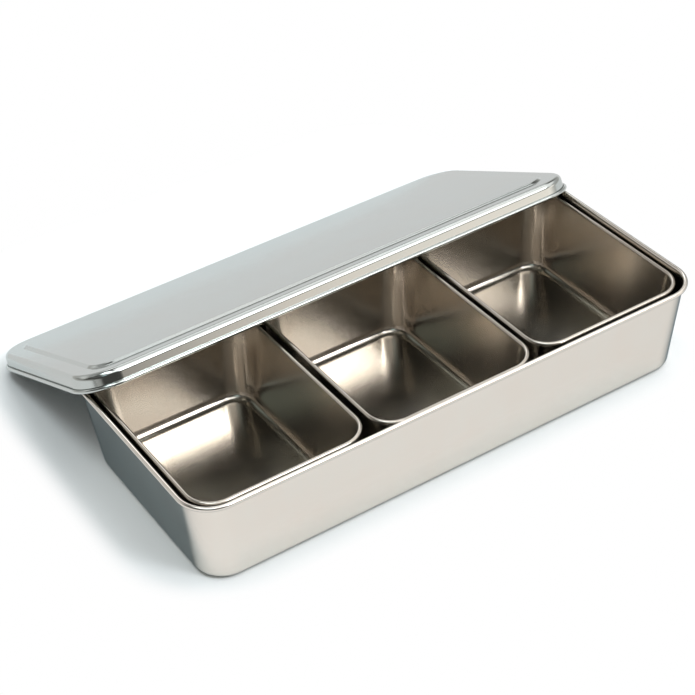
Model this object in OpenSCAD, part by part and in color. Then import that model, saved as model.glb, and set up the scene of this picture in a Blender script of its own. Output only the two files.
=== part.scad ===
// Seasoning box in stainless sheet: a deep-drawn outer pan, three loose inner
// pans that stand in a row on its floor, and one loose drawn lid.
// Every piece is one sheet, drawn to shape, with its cut edge rolled outwards.
// Frame: origin at the centre of the outer pan's underside, X along the long
// side, the open front towards -Y, Z up.  Millimetres.

/* [Sheet] */
// Thickness of the stainless sheet
sheet = 0.5; // [0.3:0.05:0.8]
// How far round each edge is rolled, counted from the wall
roll_turn = 285; // [200:5:300]

/* [Outer pan] */
// Length over the rolled rim
pan_length = 265; // [220:1:360]
// Width over the rolled rim
pan_width = 120.5; // [100:0.5:180]
// Height from the table to the top of the rim
pan_height = 46.5; // [38:0.5:80]
// Corner radius over the rolled rim
pan_corner = 16.5; // [14:0.5:24]
// Lean of the walls from upright, in degrees
pan_lean = 5; // [2:0.5:6]
// Outside radius of the bend between wall and floor
pan_bend = 4; // [2:0.25:5]
// Diameter of the rolled rim
pan_roll_d = 2.3; // [1.9:0.1:3.2]

/* [Inner pans] */
// Number of inner pans in the row
inner_count = 3; // [3:1:3]
// Gap left between neighbouring pans, and at each end of the row
inner_gap = 2; // [1:0.1:4]
// Gap left between the pans and each long wall
inner_side_gap = 2.2; // [1:0.1:4]
// How far the inner rims lie below the outer rim
inner_drop = 2.4; // [1:0.1:8]
// Corner radius over the rolled rim
inner_corner = 13.6; // [13:0.1:20]
// Lean of the walls from upright, in degrees
inner_lean = 5.5; // [2:0.5:6]
// Outside radius of the bend between wall and floor
inner_bend = 5; // [2:0.25:5.5]
// Diameter of the rolled rim
inner_roll_d = 2.2; // [1.9:0.1:3]
// Where each pan stands along its own gap, from -1 to 1
inner_nudge_x = [0.15, 0.6, 0.6]; // [-1:0.05:1]
// Where each pan stands along its side gap, from -1 to 1
inner_nudge_y = [0.2, -0.6, 0.8]; // [-1:0.05:1]

/* [Lid] */
// Height from the foot to the flat ring round the panel
lid_height = 7.7; // [6:0.1:14]
// Play between the lid's skirt and the outer rim when shut
lid_play = 0.6; // [0.5:0.05:1.5]
// Lean of the skirt from upright, in degrees
lid_lean = 2; // [0.5:0.5:6]
// Outside radius of the shoulder between skirt and top
lid_shoulder = 2.5; // [1.5:0.1:3.5]
// Width of the flat ring between shoulder and panel step
lid_ring = 6.5; // [3:0.25:8]
// Rise of the middle panel over the ring
lid_panel_rise = 1; // [0.4:0.05:1.5]
// Run of the sloped step at the panel's edge
lid_step_run = 1.6; // [0.8:0.05:2.5]
// Diameter of the rolled foot
lid_roll_d = 1.9; // [1.7:0.1:2.6]
// Slope at which the lid leans on the rear rim, in degrees
lid_tilt = 25; // [15:0.5:35]
// Turn of the leaning lid about the upright, in degrees
lid_turn = 0.5; // [0:0.1:0.5]
// How far the leaning lid lies off the middle, to the left
lid_aside = 0.3; // [0:0.05:0.3]

/* [Fits] */
// Air between pieces that lie on each other
clearance = 0.3; // [0.25:0.05:0.5]

/* [Hidden] */
$fn = 96;

steel_outer = [0.80, 0.79, 0.77];
steel_inner = [0.70, 0.67, 0.63];
steel_lid = [0.77, 0.79, 0.79];

quarter_turn = 90;
half_turn = 180;
sides = 4;
facet = 15;
finest_step = 50;

// Lengths that are worked out are made up to the nearest 0.02 mm
function made_up(size) = round(size * finest_step) / finest_step;

// Points round an arc, from one angle to another, about one every facet
function arc(middle, r, from, to) =
  let (steps = ceil(abs(to - from) / facet))
  [for (i = [0 : steps])
    let (a = from + (to - from) * i / steps)
    middle + r * [cos(a), sin(a)]];

pan_roll = pan_roll_d / 2;
inner_roll = inner_roll_d / 2;
lid_roll = lid_roll_d / 2;

// Distance between the centres of the outer pan's corners
pan_run = [pan_length - 2 * pan_corner, pan_width - 2 * pan_corner];

// Inside of the outer pan at the height of the inner rims
level_loss = (inner_drop + inner_roll - pan_roll) * tan(pan_lean);
inside_length = pan_length - 2 * (pan_roll_d + level_loss);
inside_width = pan_width - 2 * (pan_roll_d + level_loss);

inner_length = made_up((inside_length - (inner_count + 1) * inner_gap) / inner_count);
inner_width = made_up(inside_width - 2 * inner_side_gap);
inner_run = [inner_length - 2 * inner_corner, inner_width - 2 * inner_corner];
inner_height = pan_height - inner_drop - sheet;
inner_pitch = inner_length + inner_gap;
inner_move_x = inner_gap - clearance;
inner_move_y = inner_side_gap - clearance;
row_middle = (inner_count - 1) / 2;

// The skirt passes the outer rim with its play when the lid is shut, which
// places the centre of its shoulder
rim_to_foot = lid_height - sheet - pan_roll;
crown_z = lid_height - lid_shoulder;
skirt_face = pan_corner + lid_play - (crown_z - rim_to_foot) * tan(lid_lean);
crown_x = skirt_face - (lid_shoulder - sheet) / cos(lid_lean);
skirt_arm = lid_shoulder - sheet + lid_roll;
skirt_run = (crown_z - lid_roll + skirt_arm * sin(lid_lean)) / cos(lid_lean);
foot_x = crown_x + skirt_arm * cos(lid_lean) + skirt_run * sin(lid_lean);
step_x = crown_x - lid_ring;
panel_x = step_x - lid_step_run;
panel_top = lid_height + lid_panel_rise;
panel_under = panel_top - sheet;

// The lid leans with its rear foot on the table and the underside of its
// panel on the rear rim of the outer pan.  It is turned a little, so it
// bears on the rim close to one corner.
foot_y = pan_run[1] / 2 + foot_x;
turned_half = (pan_run[0] * sin(lid_turn) + pan_run[1] * cos(lid_turn)) / 2;
rear_rim_y = turned_half + pan_corner - pan_roll;
rear_rim_z = pan_height - pan_roll;
lid_z = foot_y * sin(lid_tilt) + lid_roll * (1 - cos(lid_tilt));
rim_reach = rear_rim_y * sin(lid_tilt) + rear_rim_z * cos(lid_tilt) + pan_roll + clearance;
lid_y = (rim_reach - panel_under - lid_z * cos(lid_tilt)) / sin(lid_tilt);

// Section of a pan from the centre of its corner out to the rolled rim
module pan_section(corner, height, lean, bend, roll) {
  arm = bend + roll - sheet;
  wall_run = (height - roll - bend + arm * sin(lean)) / cos(lean);
  heel = [corner - roll - arm * cos(lean) - wall_run * sin(lean), bend];
  rim = [corner - roll, height - roll];
  from = half_turn - lean;
  to = from - roll_turn;
  polygon(concat(
    [[0, 0]],
    arc(heel, bend, -quarter_turn, -lean),
    arc(rim, roll - sheet, from, to),
    arc(rim, roll, to, from),
    arc(heel, bend - sheet, -lean, -quarter_turn),
    [[0, sheet]]
  ));
}

// Section of the lid from the centre of its corner out to the rolled foot
module lid_section() {
  crown = [crown_x, crown_z];
  foot = [foot_x, lid_roll];
  from = half_turn + lid_lean;
  to = from + roll_turn;
  shift = sheet * tan(atan(lid_panel_rise / lid_step_run) / 2);
  polygon(concat(
    [[0, panel_top], [panel_x, panel_top], [step_x, lid_height]],
    arc(crown, lid_shoulder, quarter_turn, lid_lean),
    arc(foot, lid_roll - sheet, from, to),
    arc(foot, lid_roll, to, from),
    arc(crown, lid_shoulder - sheet, lid_lean, quarter_turn),
    [[step_x - shift, lid_height - sheet], [panel_x - shift, panel_under], [0, panel_under]]
  ));
}

// A section carried round a rectangle with round corners, and the plate that
// closes its middle.  The run is the distance between the corner centres.
module drawn_round(run, plate_z) {
  for (side = [0 : sides - 1]) {
    out = run[side % 2] / 2;
    along = run[(side + 1) % 2];
    rotate([0, 0, side * quarter_turn])
      translate([out, along / 2, 0]) {
        rotate([quarter_turn, 0, 0])
          linear_extrude(height = along)
            children();
        rotate_extrude(angle = quarter_turn)
          children();
      }
  }
  translate([-run[0] / 2, -run[1] / 2, plate_z])
    cube([run[0], run[1], sheet]);
}

module outer_pan() {
  color(steel_outer)
    drawn_round(pan_run, 0)
      pan_section(pan_corner, pan_height, pan_lean, pan_bend, pan_roll);
}

module inner_pan(place) {
  at_x = (place - row_middle) * inner_pitch + inner_nudge_x[place] * inner_move_x;
  at_y = inner_nudge_y[place] * inner_move_y;
  color(steel_inner)
    translate([at_x, at_y, sheet])
      drawn_round(inner_run, 0)
        pan_section(inner_corner, inner_height, inner_lean, inner_bend, inner_roll);
}

module inner_pan_left() {
  inner_pan(0);
}

module inner_pan_middle() {
  inner_pan(1);
}

module inner_pan_right() {
  inner_pan(2);
}

module lid() {
  color(steel_lid)
    rotate([0, 0, lid_turn])
      translate([-lid_aside, lid_y, lid_z])
        rotate([-lid_tilt, 0, 0])
          drawn_round(pan_run, panel_under)
            lid_section();
}

outer_pan();
inner_pan_left();
inner_pan_middle();
inner_pan_right();
lid();
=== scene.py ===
"""A seasoning box in drawn stainless sheet: an outer pan, three loose inner
pans on its floor, and a loose lid that leans on the rear rim.

Every piece is one sheet, drawn to a section that runs round a rectangle with
round corners. Lengths are in millimetres here and in metres in the meshes.
"""

from math import ceil, cos, pi, radians, sin, sqrt, tan

import bmesh
import bpy
from mathutils import Matrix, Vector


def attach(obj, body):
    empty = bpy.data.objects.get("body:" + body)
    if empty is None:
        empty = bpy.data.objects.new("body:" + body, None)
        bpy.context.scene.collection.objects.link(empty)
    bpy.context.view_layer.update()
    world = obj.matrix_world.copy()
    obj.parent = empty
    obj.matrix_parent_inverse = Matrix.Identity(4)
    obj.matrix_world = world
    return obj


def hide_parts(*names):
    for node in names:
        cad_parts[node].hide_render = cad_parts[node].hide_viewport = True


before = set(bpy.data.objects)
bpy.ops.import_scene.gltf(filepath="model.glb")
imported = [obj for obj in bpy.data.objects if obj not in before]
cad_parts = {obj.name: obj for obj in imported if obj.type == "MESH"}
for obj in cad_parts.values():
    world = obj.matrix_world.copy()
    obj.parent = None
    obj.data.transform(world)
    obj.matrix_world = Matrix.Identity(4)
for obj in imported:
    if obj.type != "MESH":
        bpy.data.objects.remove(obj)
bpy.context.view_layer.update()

MM = 0.001

# ---------------------------------------------------------------- sizes (mm)

SHEET = 0.5
ROLL_TURN = 285

PAN_LENGTH = 265
PAN_WIDTH = 120.5
PAN_HEIGHT = 46.5
PAN_CORNER = 16.5
PAN_LEAN = 5
PAN_BEND = 4
PAN_ROLL = 2.3 / 2

INNER_GAP = 2
INNER_SIDE_GAP = 2.2
INNER_LENGTH = 84
INNER_WIDTH = 111.08
INNER_DROP = 2.4
INNER_HEIGHT = PAN_HEIGHT - INNER_DROP - SHEET
INNER_CORNER = 13.6
INNER_LEAN = 5.5
INNER_BEND = 5
INNER_ROLL = 2.2 / 2
INNER_PITCH = INNER_LENGTH + INNER_GAP
INNER_NUDGE = {"left": (0.15, 0.2), "middle": (0.6, -0.6), "right": (0.6, 0.8)}
CLEARANCE = 0.3

LID_HEIGHT = 7.7
LID_PLAY = 0.6
LID_LEAN = 2
LID_SHOULDER = 2.5
LID_RING = 6.5
LID_PANEL_RISE = 1
LID_STEP_RUN = 1.6
LID_ROLL = 1.9 / 2
LID_TILT = 25
LID_TURN = 0.5
LID_ASIDE = 0.3
PANEL_CORNER = 8.5

# ------------------------------------------------------------ node graphs


class Wire:
    """A socket of a node tree. Its sums and products add the Math nodes."""

    def __init__(self, tree, socket):
        self.tree = tree
        self.socket = socket

    def _math(self, operation, *terms):
        return node(self.tree, "ShaderNodeMath", {"operation": operation}, *terms)

    def __add__(self, other):
        return self._math("ADD", self, other)

    def __radd__(self, other):
        return self._math("ADD", other, self)

    def __sub__(self, other):
        return self._math("SUBTRACT", self, other)

    def __rsub__(self, other):
        return self._math("SUBTRACT", other, self)

    def __mul__(self, other):
        return self._math("MULTIPLY", self, other)

    def __rmul__(self, other):
        return self._math("MULTIPLY", other, self)

    def __truediv__(self, other):
        return self._math("DIVIDE", self, other)

    def __mod__(self, other):
        return self._math("MODULO", self, other)

    def above(self, other):
        return self._math("GREATER_THAN", self, other)

    def below(self, other):
        return self._math("LESS_THAN", self, other)

    def floor(self):
        return self._math("FLOOR", self)

    def sin(self):
        return self._math("SINE", self)

    def cos(self):
        return self._math("COSINE", self)

    def angle_from(self, other):
        return self._math("ARCTAN2", self, other)

    def arcsine(self):
        return self._math("ARCSINE", self)

    def absolute(self):
        return self._math("ABSOLUTE", self)

    def wrapped(self, high, low):
        return self._math("WRAP", self, high, low)

    def within(self, low, high):
        return self._math("MINIMUM", self._math("MAXIMUM", self, low), high)


def plug(tree, socket, value):
    """Gives a socket a link or a plain value; None leaves it as it is."""
    if isinstance(value, Wire):
        tree.links.new(value.socket, socket)
    elif value is not None:
        socket.default_value = value


def node(tree, kind, settings=None, *values, out=0, **named):
    """Adds a node: settings first, then its sockets in order or by name."""
    made = tree.nodes.new(kind)
    for name, value in (settings or {}).items():
        setattr(made, name, value)
    for socket, value in zip(made.inputs, values):
        plug(tree, socket, value)
    for name, value in named.items():
        plug(tree, made.inputs[name.replace("_", " ")], value)
    return Wire(tree, made.outputs[out])


def vector_math(tree, operation, *values, out=0):
    return node(tree, "ShaderNodeVectorMath", {"operation": operation}, *values, out=out)


# ------------------------------------------------------------- the sections

FACET = 7.5  # degrees between the points of an arc
BRACE = 0.25  # how far from a bend the extra point of a flat stands
CORNER_STEPS = 22
STEP_EASE = 0.3  # the rounding at the top and the foot of the lid's step
STEP_POINTS = 10
WELD = 2e-6  # metres


def arc(middle, radius, start, end):
    """Points round an arc of a section; the angles are in degrees."""
    steps = ceil(abs(end - start) / FACET)
    turn = [radians(start + (end - start) * i / steps) for i in range(steps + 1)]
    return [(middle[0] + radius * cos(a), middle[1] + radius * sin(a)) for a in turn]


def joined(stretches):
    """One line through the stretches. Close to each end of a straight part it
    gets one more point, which keeps the flat flat under smooth shading."""
    line = list(stretches[0])
    for stretch in stretches[1:]:
        here, there = Vector(line[-1]), Vector(stretch[0])
        step = (there - here).normalized() * min(BRACE, (there - here).length / 3)
        line += [tuple(here + step), tuple(there - step)] + list(stretch)
    return line


def pan_section(corner, height, lean, bend, roll):
    """A pan's sheet from the underside of its floor, up the wall, round the
    rolled rim and back to the top of its floor: (out, corner radius, height)."""
    slope = radians(lean)
    arm = bend + roll - SHEET
    wall_run = (height - roll - bend + arm * sin(slope)) / cos(slope)
    heel = (corner - roll - arm * cos(slope) - wall_run * sin(slope), bend)
    rim = (corner - roll, height - roll)
    wall = 180 - lean
    line = joined([
        [(heel[0] - BRACE, 0)],
        arc(heel, bend, -90, -lean),
        arc(rim, roll - SHEET, wall, wall - ROLL_TURN),
        arc(rim, roll, wall - ROLL_TURN, wall),
        arc(heel, bend - SHEET, -lean, -90),
        [(heel[0] - BRACE, SHEET)],
    ])
    spread = wall_run * sin(slope)
    section = []
    for out, up in line:
        depth = min(max((rim[1] - up) / (rim[1] - bend), 0), 1)
        section.append((out, out + spread * depth, up))
    return section


def lid_sizes():
    """Where the lid's section turns, as the part's source works it out."""
    lean = radians(LID_LEAN)
    rim_to_foot = LID_HEIGHT - SHEET - PAN_ROLL
    crown_z = LID_HEIGHT - LID_SHOULDER
    skirt_face = PAN_CORNER + LID_PLAY - (crown_z - rim_to_foot) * tan(lean)
    crown_x = skirt_face - (LID_SHOULDER - SHEET) / cos(lean)
    arm = LID_SHOULDER - SHEET + LID_ROLL
    skirt_run = (crown_z - LID_ROLL + arm * sin(lean)) / cos(lean)
    foot_x = crown_x + arm * cos(lean) + skirt_run * sin(lean)
    return (crown_x, crown_z), (foot_x, LID_ROLL)


def lid_section():
    """The lid's sheet from the top of its panel, over the step, the ring and
    the shoulder, round the rolled foot and back under the panel: the same
    three values to a point as a pan's section."""
    crown, foot = lid_sizes()
    step_x = crown[0] - LID_RING
    panel_x = step_x - LID_STEP_RUN
    panel_top = LID_HEIGHT + LID_PANEL_RISE
    plate_edge = panel_x - STEP_EASE

    def step(drop):
        run = LID_STEP_RUN + 2 * STEP_EASE
        points = []
        for i in range(STEP_POINTS + 1):
            part = i / STEP_POINTS
            fall = LID_PANEL_RISE * (1 - cos(pi * part)) / 2
            points.append((plate_edge + run * part, panel_top - drop - fall))
        return points

    foot_start = 180 + LID_LEAN
    line = joined([
        [(plate_edge - BRACE, panel_top)],
        step(0),
        arc(crown, LID_SHOULDER, 90, LID_LEAN),
        arc(foot, LID_ROLL - SHEET, foot_start, foot_start + ROLL_TURN),
        arc(foot, LID_ROLL, foot_start + ROLL_TURN, foot_start),
        arc(crown, LID_SHOULDER - SHEET, LID_LEAN, 90),
        step(SHEET)[::-1],
        [(plate_edge - BRACE, panel_top - SHEET)],
    ])
    rounder = PANEL_CORNER - panel_x
    ring_edge = step_x + 2 * STEP_EASE
    return [(out, out + (rounder if out < ring_edge else 0), up) for out, up in line]


# ------------------------------------------------------------ drawn sheet


def drawn_sheet():
    """A tree that carries a section round a rectangle with round corners.

    The points of the piece that it works on are the section. It lays a net
    over the whole piece, puts each point of the net in its place, and closes
    the middle with a plate on either face.
    """
    tree = bpy.data.node_groups.new("Drawn sheet", "GeometryNodeTree")
    face = tree.interface
    face.new_socket("Geometry", in_out="INPUT", socket_type="NodeSocketGeometry")
    for name in ("Run length", "Run width", "Brace"):
        face.new_socket(name, in_out="INPUT", socket_type="NodeSocketFloat")
    face.new_socket("Corner steps", in_out="INPUT", socket_type="NodeSocketInt")
    face.new_socket("Finish", in_out="INPUT", socket_type="NodeSocketMaterial")
    face.new_socket("Geometry", in_out="OUTPUT", socket_type="NodeSocketGeometry")
    entry = tree.nodes.new("NodeGroupInput")
    given = {socket.name: Wire(tree, socket) for socket in entry.outputs if socket.name}

    count = node(
        tree, "GeometryNodeAttributeDomainSize", {"component": "MESH"}, given["Geometry"]
    )
    per_corner = given["Corner steps"] + 3
    around = per_corner * 4
    index = node(tree, "GeometryNodeInputIndex")
    place = node(tree, "GeometryNodeInputPosition")

    def spot(ring, point):
        """The place of one point of the section at one step of the way round."""
        drawn = node(
            tree, "GeometryNodeSampleIndex", {"data_type": "FLOAT_VECTOR"},
            Geometry=given["Geometry"], Value=place, Index=point,
        )
        split = node(tree, "ShaderNodeSeparateXYZ", None, drawn)
        out, corner, up = [Wire(tree, socket) for socket in split.socket.node.outputs]
        step = ring % per_corner
        quarter = (ring / per_corner).floor()
        turn = ((step - 1) / given["Corner steps"]).within(0, 1)
        angle = (quarter + turn) * (pi / 2)
        middle = (quarter + 0.5) * (pi / 2)
        side = (middle.cos() * sqrt(2), middle.sin() * sqrt(2))
        way = (angle.cos(), angle.sin())
        brace = (step.above(given["Corner steps"] + 1.5) - step.below(0.5)) * given["Brace"]
        along = (0 - way[1], way[0])
        run = (given["Run length"] / 2, given["Run width"] / 2)
        across = [
            side[k] * run[k] + way[k] * out
            + (corner - out) * (way[k] - side[k]) + along[k] * brace
            for k in (0, 1)
        ]
        return node(tree, "ShaderNodeCombineXYZ", None, across[0], across[1], up)

    def placed(shape, spots):
        return node(tree, "GeometryNodeSetPosition", None, Geometry=shape, Position=spots)

    net = node(
        tree, "GeometryNodeMeshGrid", None,
        Size_X=1.0, Size_Y=1.0, Vertices_X=around + 1, Vertices_Y=count,
    )
    wall = placed(net, spot((index / count).floor(), index % count))
    plate = node(
        tree, "GeometryNodeMeshCircle", {"fill_type": "NGON"}, Vertices=around, Radius=1.0
    )
    first_point = 0 * index
    under = placed(plate, spot(index, first_point))
    upper = placed(plate, spot(index, first_point + (count - 1)))

    join = tree.nodes.new("GeometryNodeJoinGeometry")
    for part in (wall, under, upper):
        tree.links.new(part.socket, join.inputs[0])
    together = Wire(tree, join.outputs[0])
    whole = node(tree, "GeometryNodeMergeByDistance", None, together, Distance=WELD)
    smooth = node(tree, "GeometryNodeSetShadeSmooth", None, whole)
    solid = node(tree, "GeometryNodeRealizeInstances", None, smooth)
    dressed = node(
        tree, "GeometryNodeSetMaterial", None, Geometry=solid, Material=given["Finish"]
    )
    leave = tree.nodes.new("NodeGroupOutput")
    tree.links.new(dressed.socket, leave.inputs[0])
    return tree


def drawn_piece(name, tree, section, run, finish, place):
    """One piece: its section carried round its run, then moved to its place."""
    line = bpy.data.meshes.new(name + "_section")
    points = [tuple(value * MM for value in point) for point in section]
    line.from_pydata(points, [(i, i + 1) for i in range(len(points) - 1)], [])
    piece = bpy.data.objects.new(name, line)
    bpy.context.scene.collection.objects.link(piece)
    drawing = piece.modifiers.new("Drawn sheet", "NODES")
    drawing.node_group = tree
    keys = {s.name: s.identifier for s in tree.interface.items_tree if s.in_out == "INPUT"}
    drawing[keys["Run length"]] = run[0] * MM
    drawing[keys["Run width"]] = run[1] * MM
    drawing[keys["Brace"]] = BRACE * MM
    drawing[keys["Corner steps"]] = CORNER_STEPS
    drawing[keys["Finish"]] = finish
    bpy.context.view_layer.update()
    seen = piece.evaluated_get(bpy.context.evaluated_depsgraph_get())
    mesh = bpy.data.meshes.new_from_object(seen)
    mesh.name = name
    piece.modifiers.clear()
    piece.data = mesh
    mesh.transform(place)
    work = bmesh.new()
    work.from_mesh(mesh)
    bmesh.ops.recalc_face_normals(work, faces=work.faces)
    work.to_mesh(mesh)
    work.free()
    return piece


def run_of(length, width, corner):
    """The straight stretches of a rectangle between its round corners."""
    return (length - 2 * corner, width - 2 * corner)


# --------------------------------------------------------------- materials


def noise(tree, place, scale, detail=2.0, stretch=None):
    """Noise from 0 to 1 over the piece; scale counts features to the metre."""
    if stretch:
        place = node(tree, "ShaderNodeMapping", None, place, Scale=stretch)
    return node(
        tree, "ShaderNodeTexNoise", {"noise_dimensions": "3D"},
        Vector=place, Scale=float(scale), Detail=detail, Roughness=0.5,
    )


def blend(tree, first, second, share):
    """A colour between two, by a share from 0 to 1."""
    mixed = node(tree, "ShaderNodeMix", {"data_type": "RGBA"}, out=2)
    factor, colour_a, colour_b = [mixed.socket.node.inputs[i] for i in (0, 6, 7)]
    plug(tree, factor, share)
    plug(tree, colour_a, first)
    plug(tree, colour_b, second)
    return mixed


CLOUD_SCALE, STREAK_SCALE, BRUSH_SCALE = 38, 420, 900
CLOUD_SHARE, STREAK_SHARE, BRUSH_SHARE = 0.9, 0.35, 0.25
SWELL_SCALE, GRAIN_SCALE = 24, 1500
GRAIN_DEPTH = 0.0006  # mm
PALE = (1, 1.045, 1.06)  # the steel's colour, times this, where it is palest
DULL = (0.985, 0.955, 0.94)  # and where it is dullest


def steel(name, colour, low_angle_tint, roughness, dulling, wave, turn=(0, 0, 0)):
    """Drawn stainless sheet: a satin skin with soft clouds, faint streaks from
    the press, and sheet that is never quite flat. The tint is what dims it at
    a low angle. Wave is in millimetres."""
    material = bpy.data.materials.new(name)
    material.use_nodes = True
    tree = material.node_tree
    shader = tree.nodes["Principled BSDF"]
    shader.inputs["Metallic"].default_value = 1
    shader.inputs["Specular Tint"].default_value = (*low_angle_tint, 1)
    body = node(tree, "ShaderNodeTexCoord", out=3)
    place = node(tree, "ShaderNodeMapping", None, body, Rotation=turn)

    cloud = noise(tree, place, CLOUD_SCALE, 3.0)
    streak = noise(tree, place, STREAK_SCALE, 2.0, (1, 1, 0.06))
    brush = noise(tree, place, BRUSH_SCALE, 2.0, (0.03, 1, 1))
    shade = (
        (cloud - 0.5) * CLOUD_SHARE + (streak - 0.5) * STREAK_SHARE
        + (brush - 0.5) * BRUSH_SHARE + 0.5
    )
    pale, dull = [
        tuple(part * factor for part, factor in zip(colour, cast)) + (1,)
        for cast in (PALE, DULL)
    ]
    skin = blend(tree, dull, pale, shade.within(0, 1))
    plug(tree, shader.inputs["Base Color"], skin)

    rough = roughness + (cloud - 0.5) * dulling + (streak - 0.5) * dulling * 0.5
    plug(tree, shader.inputs["Roughness"], rough.within(0.05, 0.6))

    swell = noise(tree, place, SWELL_SCALE, 1.0)
    grain = noise(tree, place, GRAIN_SCALE, 2.0)
    rolling = node(
        tree, "ShaderNodeBump", None, Strength=1.0, Distance=wave * MM, Height=swell
    )
    satin = node(
        tree, "ShaderNodeBump", None,
        Strength=1.0, Distance=GRAIN_DEPTH * MM, Height=grain, Normal=rolling,
    )
    plug(tree, shader.inputs["Normal"], satin)
    return material


outer_steel = steel(
    "outer_steel", (0.765, 0.715, 0.652), (0.2, 0.26, 0.3),
    roughness=0.17, dulling=0.08, wave=0.12,
)
inner_steel = steel(
    "inner_steel", (0.53, 0.487, 0.433), (0.94, 0.94, 0.94),
    roughness=0.2, dulling=0.06, wave=0.03,
)
lid_steel = steel(
    "lid_steel", (0.505, 0.53, 0.515), (0.85, 0.85, 0.85),
    roughness=0.13, dulling=0.05, wave=0.05, turn=(radians(LID_TILT), 0, 0),
)

# -------------------------------------------------------------- the pieces

sheet_tree = drawn_sheet()
outer_run = run_of(PAN_LENGTH, PAN_WIDTH, PAN_CORNER)

outer = drawn_piece(
    "outer_pan_shell", sheet_tree,
    pan_section(PAN_CORNER, PAN_HEIGHT, PAN_LEAN, PAN_BEND, PAN_ROLL),
    outer_run, outer_steel, Matrix(),
)
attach(outer, "outer_pan")
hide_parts("outer_pan")

inner_section = pan_section(
    INNER_CORNER, INNER_HEIGHT, INNER_LEAN, INNER_BEND, INNER_ROLL
)
inner_run = run_of(INNER_LENGTH, INNER_WIDTH, INNER_CORNER)
for seat, (side, nudge) in enumerate(INNER_NUDGE.items()):
    at = Vector((
        (seat - 1) * INNER_PITCH + nudge[0] * (INNER_GAP - CLEARANCE),
        nudge[1] * (INNER_SIDE_GAP - CLEARANCE),
        SHEET,
    ))
    inner = drawn_piece(
        f"inner_pan_{side}_shell", sheet_tree, inner_section,
        inner_run, inner_steel, Matrix.Translation(at * MM),
    )
    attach(inner, f"inner_pan_{side}")
    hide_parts(f"inner_pan_{side}")


def lid_place():
    """The lid stands on its rear foot, its panel on the outer pan's rear rim."""
    tilt = radians(LID_TILT)
    turn = radians(LID_TURN)
    foot_x = lid_sizes()[1][0]
    foot_y = outer_run[1] / 2 + foot_x
    up = foot_y * sin(tilt) + LID_ROLL * (1 - cos(tilt))
    rim_run = (outer_run[0] * sin(turn) + outer_run[1] * cos(turn)) / 2
    rim_y = rim_run + PAN_CORNER - PAN_ROLL
    rim_z = PAN_HEIGHT - PAN_ROLL
    reach = rim_y * sin(tilt) + rim_z * cos(tilt) + PAN_ROLL + CLEARANCE
    panel_under = LID_HEIGHT + LID_PANEL_RISE - SHEET
    back = (reach - panel_under - up * cos(tilt)) / sin(tilt)
    foot = Matrix.Translation(Vector((-LID_ASIDE, back, up)) * MM)
    return Matrix.Rotation(turn, 4, "Z") @ foot @ Matrix.Rotation(-tilt, 4, "X")


lid = drawn_piece(
    "lid_shell", sheet_tree, lid_section(), outer_run, lid_steel, lid_place()
)
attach(lid, "lid")
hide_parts("lid")

# -------------------------------------------------------------- the camera


def camera_view(azimuth, elevation, roll, target, distance, lens):
    """A camera that looks at the target from an azimuth off the open front.
    Angles are in degrees, the target and the distance in millimetres."""
    turn, lift = radians(azimuth), radians(elevation)
    back = Vector((sin(turn) * cos(lift), -cos(turn) * cos(lift), sin(lift)))
    side = (-back).cross(Vector((0, 0, 1))).normalized()
    rise = side.cross(-back)
    spin = radians(roll)
    across = side * cos(spin) + rise * sin(spin)
    upward = rise * cos(spin) - side * sin(spin)
    view = bpy.data.cameras.new("camera")
    view.lens = lens
    view.sensor_width = 36
    view.clip_start = 0.01
    camera = bpy.data.objects.new("camera", view)
    bpy.context.scene.collection.objects.link(camera)
    turn_matrix = Matrix((across, upward, back)).transposed().to_4x4()
    stand = (target + back * distance) * MM
    camera.matrix_world = Matrix.Translation(stand) @ turn_matrix
    bpy.context.scene.camera = camera


camera_view(
    azimuth=-30.61, elevation=37.30, roll=-4.06,
    target=Vector((8.06, 49.99, 0)), distance=870.38, lens=93.23,
)

# ------------------------------------------------------ floor, world, light

PAPER_SCALE = 9
PAPER_DULL = (0.875, 0.915, 0.93, 1)
PAPER_PALE = (0.885, 0.925, 0.94, 1)

# All in metres. The floor's shaded area is a rectangle, given by its centre and
# half its size, that is grown by the reach and has a soft edge.
FLOOR_REACH = 4
SHADE_CENTRE = (0, 0.081, 0)
SHADE_HALF = (0.1, 0.094, 0)
SHADE_REACH = 0.050
SHADE_SOFT = 0.007


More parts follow.
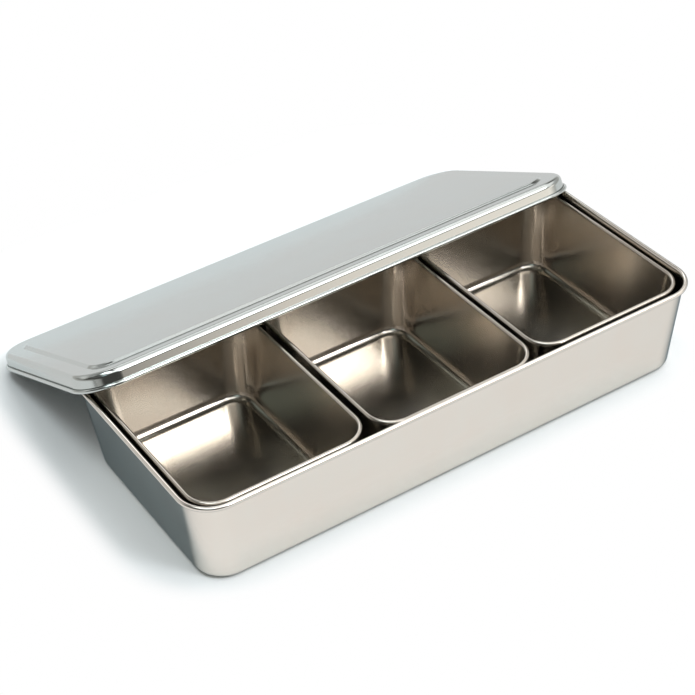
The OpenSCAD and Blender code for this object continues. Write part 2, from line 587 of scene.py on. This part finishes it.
def plain_floor():
    """A white table. It keeps the shadow round the box and opens into plain
    white further out, both to the eye and in the steel."""
    mesh = bpy.data.meshes.new("floor")
    ways = ((-1, -1), (1, -1), (1, 1), (-1, 1))
    corners = [(x * FLOOR_REACH, y * FLOOR_REACH, 0) for x, y in ways]
    mesh.from_pydata(corners, [], [(0, 1, 2, 3)])
    floor = bpy.data.objects.new("floor", mesh)
    bpy.context.scene.collection.objects.link(floor)

    material = bpy.data.materials.new("table")
    material.use_nodes = True
    tree = material.node_tree
    shader = tree.nodes["Principled BSDF"]
    shader.inputs["Roughness"].default_value = 0.8
    place = node(tree, "ShaderNodeTexCoord", out=3)
    clouds = noise(tree, place, PAPER_SCALE, 3.0)
    paper = blend(tree, PAPER_DULL, PAPER_PALE, clouds)
    plug(tree, shader.inputs["Base Color"], paper)

    offset = vector_math(tree, "SUBTRACT", place, SHADE_CENTRE)
    distance = vector_math(tree, "ABSOLUTE", offset)
    beyond = vector_math(tree, "SUBTRACT", distance, SHADE_HALF)
    outside = vector_math(tree, "MAXIMUM", beyond, (0, 0, 0))
    far = vector_math(tree, "LENGTH", outside, out=1)
    opened = node(
        tree, "ShaderNodeMapRange", {"interpolation_type": "SMOOTHSTEP"},
        far, SHADE_REACH - SHADE_SOFT, SHADE_REACH + SHADE_SOFT, 0.0, 1.0,
    )
    path = node(tree, "ShaderNodeLightPath").socket.node
    camera_ray, glossy_ray, transmission_ray = [
        Wire(tree, path.outputs[kind])
        for kind in ("Is Camera Ray", "Is Glossy Ray", "Is Transmission Ray")
    ]
    seen = (camera_ray + glossy_ray + transmission_ray).within(0, 1)
    white = tree.nodes.new("ShaderNodeEmission")
    white.inputs["Strength"].default_value = 1
    both = tree.nodes.new("ShaderNodeMixShader")
    plug(tree, both.inputs[0], opened * seen)
    tree.links.new(shader.outputs[0], both.inputs[1])
    tree.links.new(white.outputs[0], both.inputs[2])
    tree.links.new(both.outputs[0], tree.nodes["Material Output"].inputs["Surface"])
    mesh.materials.append(material)


plain_floor()


# Each: name, azimuth and half its width, height and half its height, how soft
# its edges are (all in degrees), colour, strength. Azimuth runs clockwise from
# the rear.
SOFT_BOXES = (
    ("front right", 153, 7, 46, 6, 6, (0.98, 1.00, 1.03), 21.5),
    ("front right high", 168, 7, 49, 6, 6, (0.98, 1.00, 1.02), 1.6),
    ("front right side", 131, 7, 44, 6, 6, (1.00, 1.00, 1.00), 1.6),
    ("front right low", 150, 12, 34, 4, 4, (1.00, 1.00, 1.01), 6.8),
    ("side low", 127, 8, 25, 8, 6, (1.00, 1.00, 1.00), 0.6),
    ("right", 94, 34, 46, 16, 8, (1.02, 1.00, 0.99), 1.3),
    ("right low", 90, 36, 22, 8, 8, (1.00, 1.00, 1.00), 0.5),
    ("top right", 90, 70, 76, 8, 6, (1.00, 1.00, 1.00), 1.7),
    ("top left", 270, 70, 76, 8, 6, (0.93, 1.00, 1.01), 4.6),
    ("over front", 160, 50, 64, 11, 8, (1.00, 1.00, 1.00), 2.0),
    ("front high", 185, 15, 55, 6, 6, (1.00, 1.00, 1.00), 0.6),
    ("front left", 220, 9, 42, 6, 6, (0.72, 1.00, 1.04), 1.0),
    ("front left high", 225, 25, 60, 8, 8, (1.00, 1.00, 1.00), 0.6),
    ("left", 262, 20, 42, 7, 7, (1.00, 1.00, 1.00), 0.1),
    ("horizon", 18, 132, 3, 8, 14, (1.00, 0.98, 0.94), 0.7),
    ("low right", 137, 24, 12, 4, 8, (1.12, 0.99, 0.89), 1.5),
    ("rear right", 25, 18, 37, 5, 5, (1.00, 1.00, 1.00), 2.5),
    ("rear right high", 45, 20, 54, 6, 6, (1.00, 1.00, 1.00), 1.6),
    ("right high", 60, 16, 58, 6, 6, (1.00, 1.00, 1.00), 0.5),
    ("rear left", 318, 22, 29, 9, 8, (1.00, 0.98, 0.95), 0.85),
    ("behind", 8, 32, 23, 10, 8, (1.00, 1.00, 1.00), 0.6),
    ("behind high", 352, 22, 46, 8, 10, (1.00, 1.00, 1.00), 0.45),
    ("rear left high", 310, 14, 50, 8, 10, (1.00, 1.00, 1.00), 0.6),
    ("front left low", 232, 10, 5, 3, 4, (1.00, 0.98, 0.95), 0.6),
    ("room", 0, 180, 45, 60, 1, (1.04, 1.00, 0.93), 0.08),
)


def sky_light():
    """Soft boxes on a dark sky round the table, each with wide soft edges. To
    the camera the sky is plain white."""
    world = bpy.data.worlds.new("studio")
    bpy.context.scene.world = world
    world.use_nodes = True
    tree = world.node_tree
    direction = node(tree, "ShaderNodeTexCoord")
    split = node(tree, "ShaderNodeSeparateXYZ", None, direction)
    x, y, z = [Wire(tree, socket) for socket in split.socket.node.outputs]
    azimuth = x.angle_from(y) * (180 / pi)
    height = z.arcsine() * (180 / pi)

    def band(value, half, soft):
        return node(
            tree, "ShaderNodeMapRange", {"interpolation_type": "SMOOTHSTEP"},
            value, half + soft, half - soft, 0.0, 1.0,
        )

    total = None
    for _, at, wide, up, tall, soft, colour, strength in SOFT_BOXES:
        glow = band((height - up).absolute(), tall, soft)
        if wide < 180:
            off = (azimuth - at).wrapped(180.0, -180.0)
            glow = glow * band(off.absolute(), wide, soft)
        lit = vector_math(tree, "SCALE", colour)
        plug(tree, lit.socket.node.inputs["Scale"], glow * strength)
        total = vector_math(tree, "ADD", total, lit) if total else lit
    camera_ray = node(tree, "ShaderNodeLightPath")
    shown = blend(tree, total, (1, 1, 1, 1), camera_ray)
    plug(tree, tree.nodes["Background"].inputs["Color"], shown)


sky_light()

bpy.context.scene.view_settings.view_transform = "Standard"
